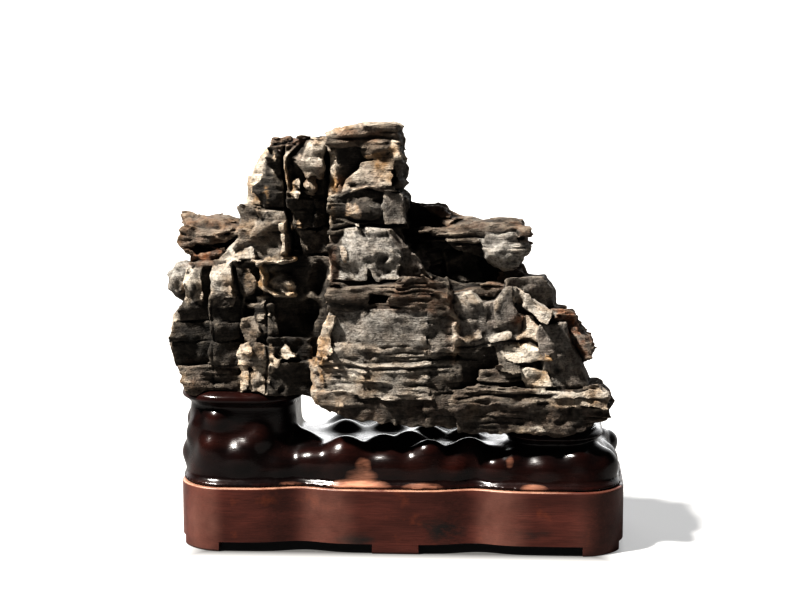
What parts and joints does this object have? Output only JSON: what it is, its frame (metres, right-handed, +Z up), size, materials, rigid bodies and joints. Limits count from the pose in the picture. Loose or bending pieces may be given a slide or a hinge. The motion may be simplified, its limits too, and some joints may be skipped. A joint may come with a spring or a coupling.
{
  "type": "scholars rock",
  "caption": "Layered dark stone with clefts and overhanging ledges, seated in a knobbly carved hardwood stand on a low lobed plinth.",
  "frame": {"origin": "on the ground under the middle of the whole object's bounding box", "axes": "+X to the right along the stand's length, +Y from the front to the back, +Z up"},
  "size_m": [0.4692, 0.1794, 0.4342],
  "materials": {
    "stone": "rough, bedded, weathered",
    "carved_wood": "dark polish, glossy",
    "plinth_wood": "red-brown, satin"
  },
  "bodies": {
    "root": {"rock": "stone", "carved_stand_top": "carved_wood", "plinth": "plinth_wood"}
  },
  "joints": []
}
